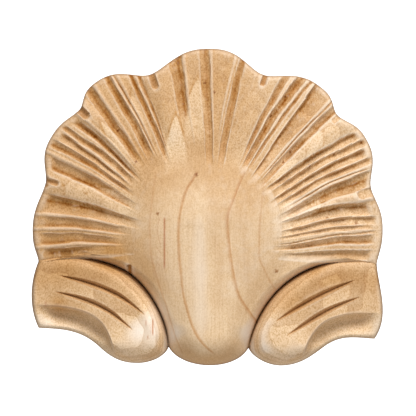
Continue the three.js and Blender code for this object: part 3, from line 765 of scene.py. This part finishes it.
def spears():
    """How far inside the light wood each point is, and how near its edge."""
    inside, edge = np.zeros((2, len(plan)))
    for tip, base, half, light in SPEARS:
        tip, base = np.array(tip), np.array(base)
        length = np.hypot(*(base - tip))
        inward = (base - tip) / length
        along = (plan - tip) @ inward
        across = np.abs((plan - tip) @ np.array([-inward[1], inward[0]]))
        depth = half * np.clip(along / length, 0, 1.6) ** SPEAR_FLARE - across
        near = (across < SPEAR_HALF) & (along > -1) & (out > 14) & ~on_leaf
        fade = smooth(out, 16, 27) * (1 - smooth(along, 12, 20))
        inside = np.maximum(inside, light * smooth(depth, -0.2, 0.5) * near * fade)
        edge = np.maximum(edge, np.exp(-(depth / SPEAR_EDGE) ** 2) * near * (1 - smooth(along, 4, 8)))
    return inside, edge


def within(line, half, points):
    """How deep each point lies in a band of changing half width about a line, from 0 at the band's
    edge to 1 in its middle."""
    inside = np.zeros(len(points))
    for a, b, here in zip(line[:-1], line[1:], half):
        inside = np.maximum(inside, 1 - distance(np.array([a, b]), points) / here)
    return inside


def averaged(values, ends, times):
    """Values spread over the mesh along its edges."""
    share = np.bincount(ends.ravel(), minlength=len(values))
    for _ in range(times):
        near = np.bincount(ends[:, 0], values[ends[:, 1]], len(values))
        near += np.bincount(ends[:, 1], values[ends[:, 0]], len(values))
        values = 0.4 * values + 0.6 * near / share
    return values


def store(name, values):
    """Keep values for the shader, with nothing on the flat back."""
    layer = mesh.attributes.new(name, "FLOAT", "POINT")
    layer.data.foreach_set("value", np.where(rise > 0.01, values, 0).astype(np.float32))


# Where each point is: in millimetres, on the plan, above the back, and in the flow of the flutes
spots = np.empty(len(mesh.vertices) * 3, dtype=np.float32)
mesh.vertices.foreach_get("co", spots)
spots = spots.reshape(-1, 3).astype(float) / MM
ends = np.empty(len(mesh.edges) * 2, dtype=np.int32)
mesh.edges.foreach_get("vertices", ends)
ends = ends.reshape(-1, 2)
plan = spots[:, [0, 2]] / UNIT
right, up = plan.T
rise = -spots[:, 1]
near = np.where(up > -15, 90, np.where(right < 0, 225, -45))
angle, out = flow_line(plan, near)
on_leaf = np.zeros(len(plan), bool)
for name, side in (("left", -1), ("right", 1)):
    line = Path(LEAVES[name]["crease"]).fine
    order = np.argsort(line[:, 0])
    below = up < np.interp(right, line[order, 0], line[order, 1]) + 0.05
    on_leaf |= below & (side * right > 11)
fan_end = rim_distance(np.clip(angle, VALLEYS[0, 0], VALLEYS[-1, 0]))
on_fan = ~on_leaf & (angle > VALLEYS[0, 0]) & (angle < VALLEYS[-1, 0])
outline = [traced(leaf[name], 40) for leaf in LEAVES.values() for name in ("side", "lower", "end")]
from_edge = np.minimum.reduce([distance(line, plan) for line in outline + [FOOT_LINE]])
from_edge = np.minimum(from_edge, np.where(on_fan, fan_end - out, np.inf))
valley = np.minimum(*[distance(crease, plan) for crease in CREASES])
sides = smooth(np.abs(right), *OPEN_SIDES)

# Depth as shading: floors of flutes, slits, creases and cuts
off_fan = on_leaf | (rise < 1)
cuts = flutes_at(angle, out, np.maximum(fan_end, 22))
_, flute, crevice = [np.where(off_fan, 0, part) for part in cuts]
slit = np.zeros(len(plan))
for leaf in LEAVES.values():
    stations = np.linspace(*VEIN_SPAN, 50)
    swell = SLIT_ENDS + np.sin(np.pi * reach(stations, *VEIN_SPAN)) ** VEIN_TAPER
    for vein in leaf["veins"]:
        course = leaf_plan(leaf)(stations, vein_at(vein, stations))
        slit = np.maximum(slit, within(course, SLIT_WIDTH / 2 / UNIT * swell, plan))
slit = slit * on_leaf
crease_line = lerp(*CREASE_DARK, right > 0) * np.exp(-(valley / CREASE_LINE) ** 2)
deep = [crevice, crease_line * (1 - sides), SLIT_DARK * smooth(slit, 0.1, 0.9),
        cuts_at(plan)[1] * ~on_leaf]
store("flute", flute)
store("crevice", np.maximum.reduce(deep))

# Stain and painted light: how much darker or lighter the wood is painted, with painted shade in the
# coves and by the creases, and painted light on lips, knuckles and beside the lower creases. Raised
# places are lighter.
# Painted highlight on the knuckles; the tongue's crown is lighter
painted_knuckle_highlight = smooth(rise, *KNUCKLE_TOP) * smooth(-up, *KNUCKLE_SPAN)
bright = np.where(on_leaf, painted_knuckle_highlight, smooth(rise, *TONGUE_CROWN))
patchy = wander(plan, 9.0, 3.1)
spear, spear_edge = spears()
cove = on_leaf * (1 - smooth(rise, 10, 12)) * (1 - smooth(up, -31, -28))
lip = 1 - smooth(from_edge, *LIP)
shell_stain = SHELL_STAIN + RIGHT_SIDE[2] * smooth(right, *RIGHT_SIDE[:2])
shell_stain += TOP[2] * smooth(up, *TOP[:2])
# Darker by the crease, partly painted shade
leaf_stain = lerp(*LEAF_STAIN_AND_SHADE, smooth(valley, *LEAF_STAIN_AND_SHADE_SPAN))
# Painted shade in the coves, painted highlight on their lips
leaf_stain += cove * (COVE_SHADE + LIP_HIGHLIGHT * lip)
leaf_stain = lerp(shell_stain, leaf_stain, np.maximum(smooth(valley, 0, 5), 1 - sides))
stain = np.where(on_leaf, leaf_stain, shell_stain) * (1 - bright) + PATCHY * patchy
stain += SPEAR_RIM * spear_edge - spear
for x, half, low, high, amount in GRAIN_BANDS:
    band = np.exp(-((right - x) / half) ** 2) * between(up, low, high, BAND_FADE)
    stain += amount * band * ~on_leaf
# Patches of wood tone, some of them painted shade and painted light
for x, y, radius, amount in PATCHES:
    stain += amount * np.exp(-((right - x) ** 2 + (up - y) ** 2) / radius ** 2)
# Painted light beside the lower creases
painted_crease_light = np.exp(-(valley / np.where(on_leaf, *PAINTED_CREASE_LIGHT[:2])) ** 2)
stain -= PAINTED_CREASE_LIGHT[2] * painted_crease_light * smooth(-up, *PAINTED_CREASE_LIGHT_SPAN)
# The painted shade of the flute floors darkens it further
store("stain", np.clip(stain + 0.5 * flute, *STAIN_AND_LIGHT_RANGE))

# Growth lines: the long ones are numbered across the tongue, with fractions between them
heights = -np.array(TONGUE_LINES["height"])
levels = np.linspace(heights[0], heights[-1], 240)
kernel = np.hanning(LINE_WINDOW) / np.hanning(LINE_WINDOW).sum()


def growth_line(name):
    """Plan x of a growth line at each point's plan height."""
    line = np.interp(levels, heights, TONGUE_LINES[name])
    padded = np.pad(line, LINE_WINDOW // 2, mode="reflect", reflect_type="odd")
    softened = np.convolve(padded, kernel, "valid")
    return np.interp(-up, levels, softened)


lines = np.stack([growth_line(name) for name in ("outer left", "left", "right", "outer right")])
count = np.zeros(len(plan))
gaps = np.concatenate([lines[:1] - 8, lines, lines[-1:] + 8])
for k in range(5):
    count += np.clip((right - gaps[k]) / (gaps[k + 1] - gaps[k]), 0, 1)
store("tongue_ring", np.clip(count, 0.5, 4.5))
line_strength = np.where((count > 1.5) & (count < 3.5), *LINE_STRENGTH)
line_strength = line_strength * (1 - smooth(up, *LINE_TOP))
store("line_strength", line_strength * (1 - smooth(-up, *LINE_FOOT)))
store("tongue", np.where(on_leaf, 0, 1 - smooth(out, 14, 28) * smooth(up, -22, -8)))
shell_rings = lerp(*SHELL_RINGS, smooth(right, *SHELL_RING_SPAN))
store("ring_strength", np.where(on_leaf, 1 - cove, shell_rings) * (1 - 0.7 * flute))
across = np.where(on_leaf, 0.18 * np.abs(spots[:, 0]) - 0.6, 0.03 * spots[:, 0])
store("contour", (averaged(rise, ends, 4) + RING_WANDER * patchy + across) / RING_STEP)

# Painted highlights on the ridges, the rim darkened by painted shade and its end grain, and the
# mineral streaks
store("rim", 1 - smooth(from_edge, *RIM_LINE))
ridge_highlight_strength = np.where(right < RIDGE_HIGHLIGHT_LEFT[0], RIDGE_HIGHLIGHT_LEFT[1], 1) * np.where(on_leaf, RIDGE_HIGHLIGHT_LEAF, 1) * (1 - cove)
ridge_highlight_strength = ridge_highlight_strength * np.where(on_leaf, smooth(valley, 4, 8), np.where(up < -26, 0, 1))
# Ridges get a painted highlight
ridge = np.clip((rise - averaged(rise, ends, 8)) / RIDGE, 0, 1)
store("edge", ridge * (rise > 2) * ridge_highlight_strength * (1 - smooth(slit, 0, 0.1)))
streak = np.full(len(plan), FAR)
strength = np.zeros(len(plan))
for x, low, high, power in STREAKS:
    offset = (right - x) * UNIT
    nearer = np.abs(offset) < np.abs(streak)
    streak = np.where(nearer, offset, streak)
    strength = np.where(nearer, power * between(up, low, high, 1), strength)
store("streak", streak)
store("streak_strength", strength)

# Colours of the wood. All but the light stain with its painted light and the painted ridge highlights
# multiply what is below them.
WOOD = [(0.3, (0.74, 0.53, 0.32)), (0.7, (0.80, 0.59, 0.37))]
LONG_GRAIN = [(0.3, (0.86, 0.81, 0.76)), (0.6, (1, 1, 1))]
SPECKLE = [(0.36, (0.77, 0.69, 0.56)), (0.5, (0.97, 0.95, 0.93)), (0.64, (1.07, 1.09, 1.15))]
# Darker wood and painted shade; lighter wood, painted highlights and painted light
DARK_STAIN_AND_SHADE = (0.66, 0.48, 0.25)
LIGHT_STAIN_AND_PAINTED_LIGHT = (0.93, 0.84, 0.74)
CARVED_RINGS = [(0.0, (0.84, 0.75, 0.64)), (0.04, (1.06, 1.05, 1.04)), (0.5, (0.99, 0.97, 0.95)),
                (0.97, (0.86, 0.80, 0.73)), (1.0, (0.80, 0.70, 0.59))]
TONGUE_RINGS = [(0.0, (0.72, 0.52, 0.36)), (0.022, (0.84, 0.70, 0.55)), (0.05, (1, 1, 1)),
                (0.94, (1, 1, 1)), (1.0, (0.78, 0.60, 0.43))]
PORE = (0.50, 0.34, 0.20)
STREAK = (0.62, 0.33, 0.2)
TORN = [(0.42, (0.05, 0.05, 0.05)), (0.58, (1, 1, 1))]
# Painted shade in the flute floors, with the colour of their torn grain
SHADED_TORN_FLOOR = (0.65, 0.45, 0.18)
# Painted shade in the deep lines
DEEP_LINE = (0.54, 0.33, 0.09)
# Colour of the painted highlight on the ridges
PAINTED_RIDGE_HIGHLIGHT = (0.87, 0.74, 0.60)
# Painted shade along the outline, with its darker end grain
RIM = (0.52, 0.41, 0.30)
SHINE = (0.32, 0.3)  # specular level, and what the cuts take from it


def wood_material():
    material = bpy.data.materials.new("wood")
    material.use_nodes = True
    nodes, links = material.node_tree.nodes, material.node_tree.links
    shader = nodes["Principled BSDF"]

    def node(kind, **values):
        made = nodes.new("ShaderNode" + kind)
        for key, value in values.items():
            if key.startswith("in_"):
                made.inputs[key[3:].replace("_", " ")].default_value = value
            else:
                setattr(made, key, value)
        return made

    where = node("TexCoord")

    def stretched(scale, detail):
        """Noise with so many features to a millimetre along each axis."""
        mapping = node("Mapping")
        mapping.inputs["Scale"].default_value = [s / MM for s in scale]
        links.new(where.outputs["Object"], mapping.inputs["Vector"])
        texture = node("TexNoise", in_Detail=detail, in_Scale=1.0)
        links.new(mapping.outputs["Vector"], texture.inputs["Vector"])
        return texture.outputs["Fac"]

    def ramp(source, stops):
        made = node("ValToRGB")
        elements = made.color_ramp.elements
        while len(elements) < len(stops):
            elements.new(0.5)
        for element, (position, colour) in zip(elements, stops):
            element.position = position
            element.color = (*colour, 1)
        links.new(source, made.inputs["Fac"])
        return made.outputs["Color"]

    def feed(socket, given):
        if isinstance(given, (int, float)):
            socket.default_value = given
        elif isinstance(given, tuple):
            socket.default_value = (*given, 1)
        else:
            links.new(given, socket)

    def mixed(kind, amount, a, b):
        made = node("Mix", data_type="RGBA", blend_type=kind)
        for number, given in ((0, amount), (6, a), (7, b)):
            feed(made.inputs[number], given)
        return made.outputs[2]

    def value(name):
        return node("Attribute", attribute_name=name).outputs["Fac"]

    def calc(operation, *inputs, clamp=False):
        made = node("Math", operation=operation, use_clamp=clamp)
        for socket, given in zip(made.inputs, inputs):
            feed(socket, given)
        return made.outputs[0]

    def times(*inputs, clamp=False):
        return calc("MULTIPLY", *inputs, clamp=clamp)

    def centred(texture, size):
        return times(calc("SUBTRACT", texture, 0.5), size)

    def multiplied(amount, below, by):
        return mixed("MULTIPLY", amount, below, by)

    # The plain wood, with long grain on the tongue and speckled end grain on the slopes
    fine = stretched((1.7, 1.7, 0.07), 4.0)
    speckle = stretched((2.5, 2.5, 2.0), 3.0)
    cloudy = stretched((0.07, 0.07, 0.03), 3.0)
    half_tongue = times(value("tongue"), 0.5)
    colour = ramp(cloudy, WOOD)
    colour = multiplied(calc("ADD", 0.2, half_tongue), colour, ramp(fine, LONG_GRAIN))
    colour = multiplied(calc("SUBTRACT", 1.0, half_tongue), colour, ramp(speckle, SPECKLE))
    # The stain, with painted shade and painted light in it
    stain = calc("ADD", value("stain"), centred(cloudy, 0.5))
    colour = multiplied(times(stain, 0.72, clamp=True), colour, DARK_STAIN_AND_SHADE)
    colour = mixed("MIX", times(stain, -0.9, clamp=True), colour, LIGHT_STAIN_AND_PAINTED_LIGHT)

    # Growth rings: contours of the carving, and the long lines down the tongue
    warp = centred(stretched((0.16, 0.16, 0.09), 2.0), 1.0)
    rings = ramp(calc("FRACT", calc("ADD", value("contour"), warp)), CARVED_RINGS)
    off_tongue = calc("SUBTRACT", 1.0, value("tongue"))
    colour = multiplied(times(off_tongue, value("ring_strength")), colour, rings)
    wobble = centred(stretched((0.4, 0.4, 0.12), 1.0), 0.04)
    rings = ramp(calc("FRACT", calc("ADD", value("tongue_ring"), wobble)), TONGUE_RINGS)
    colour = multiplied(times(value("tongue"), value("line_strength")), colour, rings)

    # Pores and mineral streaks
    flat = node("VectorMath", operation="MULTIPLY")
    links.new(where.outputs["Object"], flat.inputs[0])
    flat.inputs[1].default_value = (1, 0, 1)
    nearest = FAR
    for x, y, radius in PORES:
        apart = node("VectorMath", operation="DISTANCE")
        links.new(flat.outputs["Vector"], apart.inputs[0])
        apart.inputs[1].default_value = (x * UNIT * MM, 0, y * UNIT * MM)
        here = times(apart.outputs["Value"], 1 / (radius * UNIT * MM))
        nearest = calc("MINIMUM", here, nearest)
    ragged = calc("ADD", nearest, centred(speckle, 2.0))
    colour = multiplied(calc("SUBTRACT", 1.3, ragged, clamp=True), colour, PORE)
    across = calc("DIVIDE", calc("ABSOLUTE", value("streak")), STREAK_HALF)
    core = calc("SUBTRACT", 1.0, across, clamp=True)
    colour = multiplied(times(core, value("streak_strength")), colour, STREAK)

    # The flute floors, painted shade with their torn grain, the deep lines of painted shade, the painted
    # ridge highlights, and the rim, darkened by painted shade and its end grain
    torn = ramp(stretched((1.1, 1.1, 0.9), 4.0), TORN)
    colour = multiplied(times(times(value("flute"), torn), 0.95), colour, SHADED_TORN_FLOOR)
    colour = multiplied(value("crevice"), colour, DEEP_LINE)
    # Painted highlight along the ridges
    colour = mixed("MIX", times(value("edge"), 0.5), colour, PAINTED_RIDGE_HIGHLIGHT)
    # Painted shade along the outline, with its darker end grain
    colour = multiplied(times(value("rim"), 0.8), colour, RIM)
    links.new(colour, shader.inputs["Base Color"])

    # Shine and roughness
    rough = node("MapRange", in_From_Min=0.3, in_From_Max=0.7, in_To_Min=0.5, in_To_Max=0.66)
    links.new(stretched((1.0, 1.0, 0.1), 2.0), rough.inputs["Value"])
    links.new(rough.outputs["Result"], shader.inputs["Roughness"])
    dull = calc("ADD", value("flute"), value("crevice"))
    shine = calc("SUBTRACT", SHINE[0], times(dull, SHINE[1]), clamp=True)
    links.new(shine, shader.inputs["Specular IOR Level"])
    bump = node("Bump", in_Strength=0.5, in_Distance=0.00012)
    crust = times(stretched((1.8, 1.8, 1.3), 4.0), calc("ADD", 0.5, value("flute")))
    grain = times(stretched((3.0, 3.0, 0.25), 4.0), 0.5)
    links.new(calc("ADD", crust, grain), bump.inputs["Height"])
    links.new(bump.outputs["Normal"], shader.inputs["Normal"])
    return material


mesh.materials.clear()
mesh.materials.append(wood_material())
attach(ornament, "root")
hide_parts("carved_shell")

# Camera: level with the middle of the ornament and square to its back
CAMERA_DISTANCE = 1.5
FRONT_EDGE = 0.008  # height of the rim, where the picture's scale was measured
PICTURE = 416  # pixels
PIXEL = 0.31206 * MM  # at that height
camera_data = bpy.data.cameras.new("camera")
camera = added("camera", camera_data)
camera.location = (0.00011, -CAMERA_DISTANCE - FRONT_EDGE, -0.00027)
camera.rotation_euler = (math.radians(90), 0, 0)
camera_data.lens = camera_data.sensor_width * CAMERA_DISTANCE / (PICTURE * PIXEL)
camera_data.clip_end = 20
bpy.context.scene.camera = camera


def stage_plane(name, half, near, far, material):
    """Plane across the picture from one y and z to another."""
    mesh = bpy.data.meshes.new(name)
    corners = [(-half, *near), (half, *near), (half, *far), (-half, *far)]
    mesh.from_pydata(corners, [], [(0, 1, 2, 3)])
    mesh.materials.append(material)
    return added(name, mesh)


def plain(name, grey, glow=0.0):
    material = bpy.data.materials.new(name)
    material.use_nodes = True
    shader = material.node_tree.nodes["Principled BSDF"]
    shader.inputs["Base Color"].default_value = (grey, grey, grey, 1)
    shader.inputs["Roughness"].default_value = 0.8
    if glow:
        shader.inputs["Emission Color"].default_value = (1, 1, 1, 1)
        shader.inputs["Emission Strength"].default_value = glow
    return material


floor = stage_plane("floor", 1.2, (-1.0, -0.3), (1.4, -0.3), plain("floor", 0.8))
backdrop = stage_plane("backdrop", 0.5, (2.4, -0.29), (2.4, 0.6), plain("backdrop", 0.9, 1.2))

# Key light from above, in front and a little to the right
KEY_PLACE = Vector((0.18, -0.75, 0.95))
key_data = bpy.data.lights.new("key", "AREA")
key_data.size = 0.6
key_data.energy = 16.6
key = added("key", key_data)
key.location = KEY_PLACE
key.rotation_euler = (-KEY_PLACE).to_track_quat("-Z", "Y").to_euler()

world = bpy.data.worlds.new("world")
world.use_nodes = True
world.node_tree.nodes["Background"].inputs["Color"].default_value = (1, 1, 1, 1)
world.node_tree.nodes["Background"].inputs["Strength"].default_value = 0.33
bpy.context.scene.world = world
bpy.context.scene.view_settings.view_transform = "Standard"
